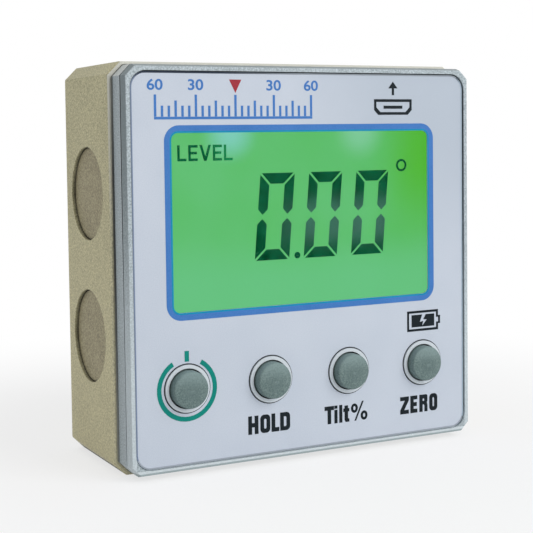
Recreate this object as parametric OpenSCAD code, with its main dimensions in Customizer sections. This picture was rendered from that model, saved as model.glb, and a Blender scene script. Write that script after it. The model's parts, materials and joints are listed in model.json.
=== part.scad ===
// Digital angle gauge: a square aluminium housing with magnets in its sides, closed by a silver front
// bezel that carries a printed label, a backlit display and four sprung push buttons.
// X runs to the right, the front looks towards -Y and Z is up. The origin is under the middle, on the base.

/* [Case] */
// Width of the housing across its two side faces
case_w = 57; // [54:0.5:64]
// Height of the housing from its base to its top
case_h = 57; // [55:0.5:64]
// Depth of the rear housing, without the bezel
housing_d = 18.8; // [17:0.2:24]
// Wall of the housing at its four sides
housing_wall = 3.6; // [3.4:0.1:4.0]
// Wall of the housing at its back
back_wall = 2.5; // [2.2:0.1:3.5]
// Chamfer along the four long corners of the housing
corner_chamfer = 1.75; // [1:0.05:2.4]
// Bevel round the back edge of the housing
back_bevel = 0.5; // [0.2:0.1:1]
// Small bevel round the housing's mouth, beside the seal
mouth_bevel = 0.2; // [0.1:0.05:0.4]
// Corner radius of the hollow in the housing and in the bezel
hollow_r = 1.5; // [0.5:0.1:2.5]

/* [Bezel] */
// Depth of the bezel from the seal to its front rim
bezel_d = 4.2; // [4:0.1:5.5]
// Step from the housing's sides in to the bezel's sides
bezel_step = 0.55; // [0.4:0.05:0.7]
// Chamfer along the four corners of the bezel's side band
bezel_chamfer = 1.5; // [0.8:0.05:2]
// How far the front bevel leans in towards the rim
bevel_in = 0.3; // [0.2:0.05:0.6]
// Depth of the front bevel
bevel_d = 1.0; // [0.6:0.1:1.6]
// Chamfer at the four corners of the front rim
rim_chamfer = 1.3; // [0.8:0.05:1.8]
// Width of the front rim beside the label
rim_w = 0.55; // [0.35:0.05:0.9]
// Thickness of the bezel's front plate, behind the label
plate_t = 1.6; // [1.4:0.1:2]
// Thickness of the lip that enters the housing
lip_t = 1.0; // [0.8:0.1:1.2]
// How far the lip enters the housing
lip_d = 1.2; // [0.8:0.1:1.6]
// Clearance between the lip and the housing
lip_gap = 0.1; // [0.05:0.05:0.2]
// Thickness of the flat seal between bezel and housing
seal_t = 0.4; // [0.2:0.05:0.5]
// How far the seal's edge stays back from the edge of the housing's mouth
seal_in = 0.2; // [0.05:0.05:0.3]
// Depth of the fine groove round the bezel's side band
groove_in = 0.2; // [0.1:0.05:0.3]
// Width of that groove
groove_w = 0.3; // [0.2:0.05:0.5]

/* [Label and display] */
// How far the label lies below the front rim
label_sink = 0.3; // [0.1:0.05:0.5]
// Thickness of the label
label_t = 0.25; // [0.15:0.05:0.4]
// Corner radius of the sunk field round the label
label_r = 2.3; // [1.5:0.1:3]
// Clearance between the label's edge and the rim
label_gap = 0.15; // [0.05:0.05:0.3]
// Shift of the display from the middle of the front
display_x = -0.3; // [-0.3:0.1:0.3]
// Side margin from the housing's side face to the printed display frame
display_side = 6.6; // [6.4:0.1:8]
// Margin from the housing's top to the printed display frame
display_top = 8.8; // [8.4:0.1:10]
// Height of the lower edge of the printed display frame above the base
display_base = 21.5; // [21:0.1:23]
// Width of the printed frame round the display
frame_w = 1.05; // [0.8:0.05:1.4]
// Corner radius of the display opening inside that frame
opening_r = 1.0; // [0.5:0.1:2]
// How far the window's flange reaches behind the label
window_flange = 2.2; // [1.8:0.1:2.4]
// Thickness of the window's flange
window_t = 0.3; // [0.2:0.05:0.4]
// Air gap between the window and the display glass
lcd_air = 0.15; // [0.1:0.05:0.3]
// Thickness of the two glass sheets of the display together
lcd_t = 1.8; // [1.4:0.1:2.2]
// Width of the glass border hidden behind the label
lcd_border = 1.4; // [1:0.1:1.6]
// Height of the contact ledge under the rear glass
lcd_ledge = 1.6; // [1.4:0.1:2]
// Thickness of the backlight's light guide
guide_t = 3.0; // [2.6:0.1:3.6]
// Thickness of the holder's wall round the display
holder_wall = 0.9; // [0.7:0.1:1.1]
// Thickness of the holder's floor behind the light guide
holder_floor = 1.2; // [1:0.1:1.6]
// Diameter of the holder's four pegs through the board
peg_d = 1.6; // [1.2:0.1:2]
// Diameter of the staked head on each peg
peg_head_d = 2.6; // [2.4:0.1:3]
// Thickness of the staked head on each peg
peg_head_t = 0.5; // [0.3:0.1:0.8]
// Thickness of the contact strip between glass and board
strip_t = 1.0; // [0.8:0.1:1.2]
// Length of the contact strip
strip_w = 38; // [30:0.5:40]
// Width of a backlight lamp along the light guide's top edge
lamp_w = 3.0; // [2:0.1:4]
// Depth of a backlight lamp into the light guide's top edge
lamp_in = 1.4; // [1:0.1:2]
// Distance between the two backlight lamps
lamp_pitch = 21; // [16:0.5:26]
// Shift of the two lamps from the display's middle
lamp_shift = -1.2; // [-2:0.1:2]

/* [Buttons] */
// Distance from the housing's side face to the axis of the end buttons
button_side = 9.15; // [8.8:0.05:9.6]
// Height of the button row above the base
button_z = 12.1; // [11.6:0.1:12.8]
// Diameter of a button's cap
cap_d = 5.2; // [4.8:0.1:5.6]
// How far a cap stands in front of the rim
button_proud = 1.5; // [0.9:0.05:1.8]
// Rounding of the cap's front edge
crown_r = 0.4; // [0.3:0.05:0.7]
// How far the cap's front bulges
cap_dome = 0.3; // [0.2:0.05:0.6]
// Clearance between a cap and its collar
cap_gap = 0.2; // [0.15:0.05:0.3]
// Wall of the collar round a cap
collar_t = 0.5; // [0.3:0.05:0.6]
// Clearance between a collar and the label's hole
collar_gap = 0.1; // [0.05:0.05:0.2]
// How far a collar stands in front of the label
collar_proud = 0.25; // [0.1:0.05:0.5]
// How far a cap's flange reaches past the cap
flange_w = 0.65; // [0.45:0.05:0.8]
// Thickness of a cap's flange
flange_t = 1.1; // [0.8:0.1:1.3]
// Free space between a cap's flange and the plate
flange_gap = 0.1; // [0.05:0.05:0.2]
// Travel of a button
button_travel = 0.5; // [0.3:0.05:0.6]
// Diameter of a switch's plunger
plunger_d = 2.0; // [1.6:0.1:2.6]
// Length of plunger that shows between cap and switch
plunger_show = 0.9; // [0.8:0.05:1.2]
// Length of plunger inside the switch at rest
plunger_in = 0.8; // [0.6:0.05:1]
// Clearance round the plunger in its switch
plunger_gap = 0.15; // [0.1:0.05:0.25]
// Width of a switch's square case
switch_w = 5.2; // [4.5:0.1:6]
// Reach of a switch's solder feet past its case
foot_out = 0.7; // [0.5:0.1:0.9]

/* [Board and power] */
// Thickness of the main board
board_t = 1.2; // [0.8:0.1:1.6]
// Clearance between the board and the bezel's lip
board_gap = 0.3; // [0.2:0.05:0.5]
// Diameter of the posts that carry the board
post_d = 3.6; // [3:0.1:4]
// Thread diameter of the board's screws
board_screw_d = 1.6; // [1.4:0.1:2]
// Length of a board screw under its head
board_screw_len = 3.4; // [3:0.1:3.8]
// Head diameter of the board's screws
board_head_d = 3.0; // [2.6:0.1:3.4]
// Head height of the board's screws
board_head_t = 1.0; // [0.7:0.1:1.3]
// Width of the battery cell
battery_w = 36; // [30:0.5:40]
// Height of the battery cell
battery_h = 26; // [20:0.5:28]
// Thickness of the battery cell
battery_t = 5.5; // [4:0.1:6.5]
// Length of the straight leads above the battery
lead_rise = 6.4; // [5.4:0.2:7]
// Thickness of the foam tape behind the battery
tape_t = 0.3; // [0.2:0.05:0.6]
// Diameter of a battery lead
lead_d = 1.2; // [0.8:0.1:1.4]
// Bend radius of a battery lead
lead_bend = 2.0; // [1.6:0.1:2.4]
// Distance between the two battery leads
lead_pitch = 2.0; // [1.6:0.1:2.4]
// Place of the battery header across the board
header_x = -8; // [-12:0.5:-4]
// Distance of the battery header below the board's top edge
header_drop = 7; // [6:0.2:8]
// Distance from the housing's right side to the charging socket's axis
usb_side = 14; // [13:0.2:16]
// Width of the charging socket
usb_w = 7.6; // [7.4:0.1:7.8]
// Thickness of the charging socket
usb_t = 2.6; // [2.4:0.1:2.8]
// Length of the charging socket
usb_len = 5.6; // [5:0.1:6]
// Sheet thickness of the charging socket's shell
usb_shell = 0.3; // [0.2:0.05:0.35]
// Depth of the plug recess in the housing's top
recess_d = 2.2; // [1.6:0.1:2.6]
// Width of the plug recess in the housing's top
recess_w = 10.8; // [9.5:0.1:12]
// Thickness of the plug recess in the housing's top
recess_t = 6.4; // [5:0.1:7]

/* [Magnets and case screws] */
// Diameter of a magnet
magnet_d = 13; // [11:0.1:14]
// Thickness of a magnet
magnet_t = 2.2; // [1.5:0.1:2.4]
// How far a magnet lies below the housing's face
magnet_sink = 0.5; // [0.2:0.05:0.6]
// Clearance round a magnet in its pocket
magnet_gap = 0.15; // [0.05:0.05:0.2]
// Distance between the two magnets of one face
magnet_pitch = 20.4; // [16:0.2:24]
// Thread diameter of the case screws
case_screw_d = 2.0; // [1.8:0.1:2.2]
// Distance of the case screws from the housing's faces
case_screw_in = 4.4; // [4.2:0.1:4.6]
// Diameter of the bosses round the case screws
boss_d = 4.8; // [4.4:0.1:5]
// Head diameter of the case screws
case_head_d = 3.8; // [3.4:0.1:4]
// Head height of the case screws
case_head_t = 1.3; // [1:0.1:1.5]
// How far the case screws' heads lie below the back
case_head_sink = 0.3; // [0.1:0.05:0.5]
// Length of the case screws' thread inside the bezel
case_grip = 2.0; // [1.6:0.1:2.2]

/* [Hidden] */
$fn = 48;
// Overshoot of a cut past the face that it opens
over = 1;
// Small clearance between pieces that are glued or seated
seat_gap = 0.05;
// Clearance of a screw in a hole that it passes through
screw_gap = 0.15;
// Clearance round a screw's thread in its pilot hole
thread_gap = 0.05;
// Free depth of a pilot hole past the screw's tip
pilot_spare = 0.3;
// Overlap by which a rib or boss roots in its carrier
root = 0.4;
// How much earlier a bevel starts at the chamfered corners than along the sides
corner_lead = 0.15;
// How far the groove lies behind the front bevel
groove_lead = 0.2;
// How much higher the cap's edge rounding lies than where it would run smoothly into the bulge
crown_lift = 0.03;

// Depth planes, from the buttons at the front to the housing's back
total_d = button_proud + bezel_d + seal_t + housing_d;
y_cap = -total_d / 2;
y_rim = y_cap + button_proud;
y_label = y_rim + label_sink;
y_plate = y_label + label_t;
y_plate_back = y_plate + plate_t;
y_window_back = y_plate + window_t;
y_lcd = y_window_back + lcd_air;
y_ledge = y_lcd + lcd_t / 2;
y_lcd_back = y_lcd + lcd_t;
y_guide_back = y_lcd_back + guide_t;
y_board = y_guide_back + holder_floor;
y_board_back = y_board + board_t;
y_seal = y_rim + bezel_d;
y_mouth = y_seal + seal_t;
y_groove = y_rim + bevel_d + groove_lead;
y_back = y_mouth + housing_d;
y_inside = y_back - back_wall;
y_flange = y_plate_back + flange_gap;
y_cap_back = y_flange + flange_t;
y_switch = y_cap_back + plunger_show;
y_battery_back = y_inside - tape_t;
y_battery = y_battery_back - battery_t;
y_magnet = y_mouth + housing_d / 2;

// Outlines across the depth
mid_z = case_h / 2;
cavity_w = case_w - 2 * housing_wall;
cavity_h = case_h - 2 * housing_wall;
bezel_w = case_w - 2 * bezel_step;
bezel_h = case_h - 2 * bezel_step;
groove_outline_w = bezel_w - 2 * groove_in;
groove_outline_h = bezel_h - 2 * groove_in;
groove_chamfer = bezel_chamfer - (2 - sqrt(2)) * groove_in;
seal_w = case_w - 2 * (mouth_bevel + seal_in);
seal_h = case_h - 2 * (mouth_bevel + seal_in);
recess_label_w = bezel_w - 2 * (bevel_in + rim_w);
recess_label_h = bezel_h - 2 * (bevel_in + rim_w);
lip_w = cavity_w - 2 * lip_gap;
lip_h = cavity_h - 2 * lip_gap;
hollow_w = lip_w - 2 * lip_t;
hollow_h = lip_h - 2 * lip_t;
board_w = hollow_w - 2 * board_gap;
board_h = hollow_h - 2 * board_gap;
board_top = mid_z + board_h / 2;

// Display: the opening inside the printed frame, and the glass behind it
opening_w = case_w - 2 * (display_side + frame_w);
opening_low = display_base + frame_w;
opening_high = case_h - display_top - frame_w;
opening_h = opening_high - opening_low;
opening_z = (opening_low + opening_high) / 2;
window_w = opening_w + 2 * window_flange;
window_h = opening_h + 2 * window_flange;
lcd_w = opening_w + 2 * lcd_border;
lcd_low = opening_low - lcd_border - lcd_ledge;
lcd_high = opening_high + lcd_border;
lcd_h = lcd_high - lcd_low;
lcd_z = (lcd_low + lcd_high) / 2;
guide_low = lcd_low + lcd_ledge;
guide_z = (guide_low + lcd_high) / 2;
strip_z = lcd_low + lcd_ledge / 2;
glass_gap = 0.1;
peg_in = 4;
peg_x = lcd_w / 2 - peg_in;
peg_lift = 8;
peg_places = [for (x = [-peg_x, peg_x], z = [-peg_lift, peg_lift]) [display_x + x, opening_z + z]];
lamp_x = display_x + lamp_shift;

// Buttons
button_pitch = (case_w - 2 * button_side) / 3;
button_x = [for (i = [0:3]) -case_w / 2 + button_side + i * button_pitch];
bore_d = cap_d + 2 * cap_gap;
collar_d = bore_d + 2 * collar_t;
post_x = [for (i = [0:2]) (button_x[i] + button_x[i + 1]) / 2];

// Corners and sides
screw_places = [for (x = [-1, 1], z = [-1, 1])
    [x * (case_w / 2 - case_screw_in), mid_z + z * (case_h / 2 - case_screw_in)]];
case_head_floor = y_back - case_head_sink - case_head_t;
corner_clear = case_screw_in + boss_d / 2 + board_gap;
lip_len_w = case_w - 2 * (corner_clear + root);
lip_len_h = case_h - 2 * (corner_clear + root);

// Charging socket, battery header and chips
usb_x = case_w / 2 - usb_side;
usb_gap = 0.2;
usb_top = case_h - housing_wall - usb_gap;
usb_y = y_board_back + usb_t / 2;
usb_corner = 0.8;
tongue_t = 0.6;
tongue_in = 0.7;
tongue_block = 1.4;
header_z = board_top - header_drop;
header_wall = 0.6;
header_w = 6;
header_h = 4.4;
header_t = 4;
plug_out = 1.6;
processor_w = 9;
processor_t = 1.4;
processor_x = 4;
processor_drop = 4;
pin_reach = 0.8;
processor_place = [processor_x, opening_z - processor_drop];
sensor_w = 8.6;
sensor_t = 2.6;
sensor_x = -9;
sensor_drop = 6;
sensor_place = [sensor_x, opening_z - sensor_drop];
charger_w = 4.9;
charger_h = 3.9;
charger_t = 1.5;
charger_place = [usb_x - usb_w, header_z - charger_h];
capacitor_w = 1.2;
capacitor_h = 2;
capacitor_t = 0.8;
capacitor_pitch = 2.4;
capacitor_gap = 1.4;
capacitor_z = processor_place[1] - processor_w / 2 - pin_reach - capacitor_gap - capacitor_h / 2;
battery_high = header_z - lead_bend - lead_rise;
battery_z = battery_high - battery_h / 2;
y_plug_back = y_board_back + header_t + plug_out;
y_lead = (y_battery + y_battery_back) / 2;

// A flat outline in x and z, given thickness from one depth to another
module between(y_from, y_to) {
    translate([0, y_to, 0]) rotate([90, 0, 0]) linear_extrude(height = y_to - y_from) children();
}

// A flat rectangle with round corners, about its own middle
module round_rect(w, h, r) {
    square([w - 2 * r, h], center = true);
    square([w, h - 2 * r], center = true);
    for (x = [-1, 1], z = [-1, 1]) translate([x * (w / 2 - r), z * (h / 2 - r)]) circle(r);
}

// A flat rectangle with chamfered corners, about its own middle
module chamfered_rect(w, h, c) {
    polygon([
        [w / 2 - c, h / 2], [-w / 2 + c, h / 2], [-w / 2, h / 2 - c], [-w / 2, -h / 2 + c],
        [-w / 2 + c, -h / 2], [w / 2 - c, -h / 2], [w / 2, -h / 2 + c], [w / 2, h / 2 - c]
    ]);
}

// A round bar along the depth, on one axis
module bar(place, d, y_from, y_to) {
    translate([place[0], y_to, place[1]]) rotate([90, 0, 0]) cylinder(d = d, h = y_to - y_from);
}

// A box between two opposite corners
module block(low, high) {
    translate(low) cube(high - low);
}

// A slab whose two long sides lean in at one end
module bevel_slab(half, end_half, reach, y_wide, y_turn, y_end) {
    linear_extrude(height = reach, center = true) polygon([
        [-half, y_wide], [half, y_wide], [half, y_turn],
        [end_half, y_end], [-end_half, y_end], [-half, y_turn]
    ]);
}

// A chamfered square block, bevelled all round at one end
module bevelled_block(w, h, chamfer, inset, end_chamfer, y_wide, y_turn, y_end) {
    reach = 2 * (w + h);
    diagonal = ((w + h) / 2 - chamfer) / sqrt(2);
    end_diagonal = ((w + h) / 2 - 2 * inset - end_chamfer) / sqrt(2);
    y_corner = y_turn + sign(y_wide - y_turn) * corner_lead;
    translate([0, 0, mid_z]) intersection() {
        bevel_slab(w / 2, w / 2 - inset, reach, y_wide, y_turn, y_end);
        rotate([0, 90, 0]) bevel_slab(h / 2, h / 2 - inset, reach, y_wide, y_turn, y_end);
        rotate([0, 45, 0]) bevel_slab(diagonal, end_diagonal, reach, y_wide, y_corner, y_end);
        rotate([0, -45, 0]) bevel_slab(diagonal, end_diagonal, reach, y_wide, y_corner, y_end);
    }
}

// A disc that stands on one of the housing's magnetic faces and reaches inward
module face_disc(side, offset, d, from_face, depth) {
    base_face = side == "base";
    turn = side == "left" ? 90 : side == "right" ? -90 : 0;
    place = base_face ? [offset, y_magnet, 0]
        : [(side == "left" ? -1 : 1) * case_w / 2, y_magnet, mid_z + offset];
    translate(place) rotate([0, turn, 0]) translate([0, 0, from_face]) cylinder(d = d, h = depth, $fn = 96);
}

// Rear housing: a deep tray with screw bosses, magnet pockets and the charging port
module rear_housing() {
    magnet_pocket_d = magnet_d + 2 * magnet_gap;
    color("#a8a284") difference() {
        union() {
            difference() {
                intersection() {
                    bevelled_block(case_w, case_h, corner_chamfer, back_bevel, corner_chamfer,
                        y_mouth - over, y_back - back_bevel, y_back);
                    bevelled_block(case_w, case_h, corner_chamfer, mouth_bevel, corner_chamfer,
                        y_back + over, y_mouth + mouth_bevel, y_mouth);
                }
                between(y_mouth - over, y_inside)
                    translate([0, mid_z]) round_rect(cavity_w, cavity_h, hollow_r);
            }
            for (p = screw_places) bar(p, boss_d, y_mouth + seat_gap, y_inside + root);
        }
        for (p = screw_places) {
            bar(p, case_screw_d + 2 * screw_gap, y_mouth - over, y_back + over);
            bar(p, case_head_d + 2 * screw_gap, case_head_floor, y_back + over);
        }
        for (side = ["left", "right", "base"], s = [-1, 1])
            face_disc(side, s * magnet_pitch / 2, magnet_pocket_d, -over, over + magnet_sink + magnet_t);
        translate([usb_x, usb_y, case_h - recess_d]) linear_extrude(height = recess_d + over)
            round_rect(recess_w, recess_t, usb_corner);
        translate([usb_x, usb_y, case_h - housing_wall - over]) linear_extrude(height = housing_wall + over)
            round_rect(usb_w + 2 * usb_gap, usb_t + 2 * usb_gap, usb_corner);
    }
}

// The four straight lips that locate the bezel inside the housing's mouth
module bezel_lips() {
    for (s = [-1, 1]) {
        low_x = s > 0 ? hollow_w / 2 : -lip_w / 2;
        block([low_x, y_seal - root, mid_z - lip_len_h / 2],
            [low_x + lip_t, y_mouth + lip_d, mid_z + lip_len_h / 2]);
        low_z = s > 0 ? mid_z + hollow_h / 2 : mid_z - lip_h / 2;
        block([-lip_len_w / 2, y_seal - root, low_z],
            [lip_len_w / 2, y_mouth + lip_d, low_z + lip_t]);
    }
}

// Front bezel: a bevelled frame with a sunk label field, display opening, collars and board posts
module front_bezel() {
    color("#c8d0d4") difference() {
        union() {
            difference() {
                bevelled_block(bezel_w, bezel_h, bezel_chamfer, bevel_in, rim_chamfer,
                    y_seal, y_rim + bevel_d, y_rim);
                between(y_groove, y_groove + groove_w) translate([0, mid_z]) difference() {
                    square([bezel_w + over, bezel_h + over], center = true);
                    chamfered_rect(groove_outline_w, groove_outline_h, groove_chamfer);
                }
                between(y_rim - over, y_plate)
                    translate([0, mid_z]) round_rect(recess_label_w, recess_label_h, label_r);
                between(y_plate_back, y_seal + over)
                    translate([0, mid_z]) round_rect(hollow_w, hollow_h, hollow_r);
            }
            for (x = button_x) bar([x, button_z], collar_d, y_label - collar_proud, y_plate + root);
            for (x = post_x) bar([x, button_z], post_d, y_plate_back - root, y_board);
            for (p = screw_places) bar(p, boss_d, y_plate_back - root, y_seal - seat_gap);
            bezel_lips();
        }
        between(y_plate - over, y_window_back) translate([display_x, opening_z])
            round_rect(window_w + 2 * seat_gap, window_h + 2 * seat_gap, opening_r + seat_gap);
        between(y_plate, y_plate_back + over) translate([display_x, lcd_z])
            square([lcd_w + 2 * glass_gap, lcd_h + 2 * glass_gap], center = true);
        for (x = button_x) bar([x, button_z], bore_d, y_rim - over, y_plate_back + over);
        for (x = post_x) bar([x, button_z], board_screw_d + 2 * thread_gap,
            y_board_back - board_screw_len - pilot_spare, y_board + over);
        for (p = screw_places) bar(p, case_screw_d + 2 * thread_gap,
            y_seal - case_grip - pilot_spare, y_seal + over);
    }
}

// Flat seal between the bezel and the housing's mouth
module case_seal() {
    color("#1c1d1f") between(y_seal, y_mouth) translate([0, mid_z]) difference() {
        chamfered_rect(seal_w, seal_h, corner_chamfer);
        round_rect(cavity_w, cavity_h, hollow_r);
        for (p = screw_places) translate([p[0], p[1] - mid_z]) circle(d = boss_d);
    }
}

// Four long screws that draw the housing against the bezel
module case_screws() {
    cross_w = 2.3;
    cross_t = 0.5;
    color("#7d8084") for (p = screw_places) difference() {
        union() {
            bar(p, case_head_d, case_head_floor, case_head_floor + case_head_t);
            bar(p, case_screw_d, y_seal - case_grip, case_head_floor + root);
        }
        translate([p[0], y_back - case_head_sink, p[1]]) for (a = [0, 90]) rotate([0, a, 0])
            cube([cross_w, case_head_t, cross_t], center = true);
    }
}

// Printed label that fills the sunk field, open at the display and at the collars
module front_label() {
    collar_hole_d = collar_d + 2 * collar_gap;
    color("#c6cbd8") between(y_label, y_plate) difference() {
        translate([0, mid_z])
            round_rect(recess_label_w - 2 * label_gap, recess_label_h - 2 * label_gap, label_r - label_gap);
        translate([display_x, opening_z]) round_rect(opening_w, opening_h, opening_r);
        for (x = button_x) translate([x, button_z]) circle(d = collar_hole_d);
    }
}

// Clear window: its face fills the label's opening, its flange lies in the plate
module display_window() {
    color("#b8d8c0", 0.4) translate([display_x, 0, opening_z]) {
        between(y_label, y_window_back)
            round_rect(opening_w - 2 * seat_gap, opening_h - 2 * seat_gap, opening_r - seat_gap);
        between(y_plate, y_window_back) round_rect(window_w, window_h, opening_r);
    }
}

// Display glass: the front sheet stands below the rear one as a contact ledge
module lcd_panel() {
    color("#6fbf78") translate([display_x, 0, 0]) {
        block([-lcd_w / 2, y_lcd, lcd_low], [lcd_w / 2, y_ledge, lcd_high]);
        block([-lcd_w / 2, y_ledge, guide_low], [lcd_w / 2, y_lcd_back, lcd_high]);
    }
}

// The lamps' outline in x and z, with a clearance
module lamp_outline(gap) {
    for (x = [-lamp_pitch / 2, lamp_pitch / 2]) translate([lamp_x + x, lcd_high - lamp_in / 2])
        square([lamp_w + 2 * gap, lamp_in + 2 * gap], center = true);
}

// Light guide that spreads the lamps' light behind the glass
module backlight_guide() {
    color("#e8f4ea") between(y_lcd_back, y_guide_back) difference() {
        translate([display_x, guide_z]) square([lcd_w, lcd_high - guide_low], center = true);
        lamp_outline(glass_gap);
    }
}

// Two lamps on the board, in the light guide's top edge
module backlight_lamps() {
    color("#f2efc8") between(y_lcd_back + glass_gap, y_board) lamp_outline(0);
}

// Holder: a tray round glass and light guide, staked to the board by four pegs
module display_holder() {
    holder_out = 2 * (glass_gap + holder_wall);
    color("#f0f0ec") {
        difference() {
            between(y_plate_back, y_board) translate([display_x, lcd_z])
                square([lcd_w + holder_out, lcd_h + holder_out], center = true);
            between(y_plate_back - over, y_guide_back) translate([display_x, lcd_z])
                square([lcd_w + 2 * glass_gap, lcd_h + 2 * glass_gap], center = true);
            between(y_guide_back - over, y_board + over) {
                lamp_outline(glass_gap);
                translate([display_x, strip_z])
                    square([strip_w + 2 * glass_gap, strip_t + 2 * glass_gap], center = true);
            }
        }
        for (p = peg_places) {
            bar(p, peg_d, y_board - root, y_board_back + root);
            bar(p, peg_head_d, y_board_back, y_board_back + peg_head_t);
        }
    }
}

// Elastic strip that carries the contacts from the glass ledge to the board
module contact_strip() {
    color("#d8a0a8") block([display_x - strip_w / 2, y_ledge, strip_z - strip_t / 2],
        [display_x + strip_w / 2, y_board, strip_z + strip_t / 2]);
}

// Main board, notched at the corners for the case screws
module main_board() {
    color("#2f6b43") between(y_board, y_board_back) difference() {
        translate([0, mid_z]) square([board_w, board_h], center = true);
        for (x = [-1, 1], z = [-1, 1]) translate([x * case_w / 2, mid_z + z * case_h / 2])
            square(2 * corner_clear, center = true);
        for (p = peg_places) translate(p) circle(d = peg_d + 2 * screw_gap);
        for (x = post_x) translate([x, button_z]) circle(d = board_screw_d + 2 * screw_gap);
    }
}

// Three small screws that hold the board on the bezel's posts
module board_screws() {
    slot_w = 2.2;
    slot_t = 0.35;
    color("#b9bcc0") for (x = post_x) difference() {
        union() {
            bar([x, button_z], board_head_d, y_board_back, y_board_back + board_head_t);
            bar([x, button_z], board_screw_d, y_board_back - board_screw_len, y_board_back + root);
        }
        translate([x, y_board_back + board_head_t, button_z])
            cube([slot_w, board_head_t, slot_t], center = true);
    }
}

// Cap of a button: a bulging front, a shaft through the collar and a flange behind the plate
module button_cap(i) {
    cap_r = cap_d / 2;
    cap_len = y_cap_back - y_cap;
    core_r = cap_r - crown_r;
    dome_r = (pow(cap_r, 2) + pow(cap_dome, 2)) / (2 * cap_dome);
    crown_y = cap_len - dome_r + sqrt(pow(dome_r - crown_r, 2) - pow(core_r, 2)) + crown_lift;
    color("#73877f") translate([button_x[i], y_cap_back, button_z]) rotate([90, 0, 0])
        rotate_extrude() intersection() {
            union() {
                square([cap_r + flange_w, flange_t]);
                square([cap_r, crown_y]);
                square([core_r, cap_len + over]);
                translate([core_r, crown_y]) circle(crown_r);
            }
            translate([0, cap_len - dome_r]) circle(dome_r);
        }
}

// Plunger of a switch, which follows its cap
module switch_plunger(i) {
    color("#3a3b3d") bar([button_x[i], button_z], plunger_d, y_cap_back, y_switch + plunger_in);
}

// Case of a switch on the board, with the plunger's bore
module switch_case(i) {
    color("#222326") difference() {
        between(y_switch, y_board) translate([button_x[i], button_z]) round_rect(switch_w, switch_w, root);
        bar([button_x[i], button_z], plunger_d + 2 * plunger_gap, y_switch - over,
            y_switch + plunger_in + button_travel + pilot_spare);
    }
}

// Solder feet of the four switches
module switch_feet() {
    foot_w = 0.8;
    foot_t = 0.25;
    color("#c9c3ae") for (x = button_x, sx = [-1, 1], sz = [-1, 1])
        translate([x + sx * (switch_w + foot_out) / 2, y_board - foot_t / 2, button_z + sz * switch_w / 3])
            cube([foot_out, foot_t, foot_w], center = true);
}

// Outline of the charging socket in x and y, narrower on the side away from the board
module socket_outline(inset) {
    half_w = usb_w / 2 - inset;
    half_t = usb_t / 2 - inset;
    polygon([
        [-half_w, -half_t], [half_w, -half_t], [half_w, half_t - usb_corner],
        [half_w - usb_corner, half_t], [-half_w + usb_corner, half_t], [-half_w, half_t - usb_corner]
    ]);
}

// Steel shell of the charging socket, open towards the top
module charging_socket() {
    color("#b4b7ba") translate([usb_x, usb_y, usb_top - usb_len]) difference() {
        linear_extrude(height = usb_len) socket_outline(0);
        translate([0, 0, -over]) linear_extrude(height = usb_len + 2 * over) socket_outline(usb_shell);
    }
}

// Insulator that closes the socket's bottom and carries its contact tongue
module socket_tongue() {
    tongue_w = usb_w - 2 * usb_shell - 3 * usb_corner;
    color("#1a1a1c") translate([usb_x, usb_y, usb_top - usb_len]) {
        linear_extrude(height = tongue_block) socket_outline(usb_shell + seat_gap);
        translate([-tongue_w / 2, -tongue_t / 2, 0]) cube([tongue_w, tongue_t, usb_len - tongue_in]);
    }
}

// Flat rechargeable cell on the housing's back wall
module battery_cell() {
    color("#9ea4ab") between(y_battery, y_battery_back)
        translate([0, battery_z]) round_rect(battery_w, battery_h, hollow_r);
}

// Foam tape that holds the cell
module battery_tape() {
    color("#e5e2d8") between(y_battery_back, y_inside)
        translate([0, battery_z]) square([battery_w / 2, battery_h / 2], center = true);
}

// Header on the board that takes the battery's plug
module battery_header() {
    color("#efece2") translate([header_x, 0, header_z]) difference() {
        block([-header_w / 2, y_board_back, -header_h / 2],
            [header_w / 2, y_board_back + header_t, header_h / 2]);
        block([-header_w / 2 + header_wall, y_board_back + header_wall, -header_h / 2 + header_wall],
            [header_w / 2 - header_wall, y_board_back + header_t + over, header_h / 2 - header_wall]);
    }
}

// Plug on the battery's two leads
module battery_plug() {
    half_w = header_w / 2 - header_wall - glass_gap;
    half_h = header_h / 2 - header_wall - glass_gap;
    color("#f6f4ee") translate([header_x, 0, header_z])
        block([-half_w, y_board_back + header_wall, -half_h], [half_w, y_plug_back, half_h]);
}

// A lead from the cell's upper edge, up and round a bend into the plug
module battery_lead(side) {
    bend_z = header_z - lead_bend;
    translate([header_x + side * lead_pitch / 2, 0, 0]) {
        translate([0, y_lead, battery_high]) cylinder(d = lead_d, h = bend_z - battery_high);
        translate([0, y_lead - lead_bend, bend_z]) rotate([90, 0, 90])
            rotate_extrude(angle = 90) translate([lead_bend, 0]) circle(d = lead_d);
        bar([0, header_z], lead_d, y_plug_back, y_lead - lead_bend);
    }
}

// A chip on the back of the board
module chip(place, size, t) {
    half = size / 2;
    translate([place[0], 0, place[1]])
        block([-half[0], y_board_back, -half[1]], [half[0], y_board_back + t, half[1]]);
}

// Processor with its rows of leads
module processor_chip() {
    pin_row = 7;
    pin_pitch = 1;
    pin_t = 0.2;
    pin_w = 0.4;
    color("#26282b") chip(processor_place, [processor_w, processor_w], processor_t);
    color("#c9c3ae") for (k = [-pin_row / 2 : pin_pitch : pin_row / 2], a = [0, 90, 180, 270])
        translate([processor_place[0], y_board_back + pin_t / 2, processor_place[1]]) rotate([0, a, 0])
            translate([(processor_w + pin_reach) / 2, 0, k])
                cube([pin_reach + root, pin_t, pin_w], center = true);
}

// Tilt sensor in its stepped package
module tilt_sensor() {
    lid_in = 0.6;
    lid_t = 0.6;
    lid_w = sensor_w - 2 * lid_in;
    color("#b99a4e") {
        chip(sensor_place, [sensor_w, sensor_w], sensor_t);
        chip(sensor_place, [lid_w, lid_w], sensor_t + lid_t);
    }
}

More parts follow.
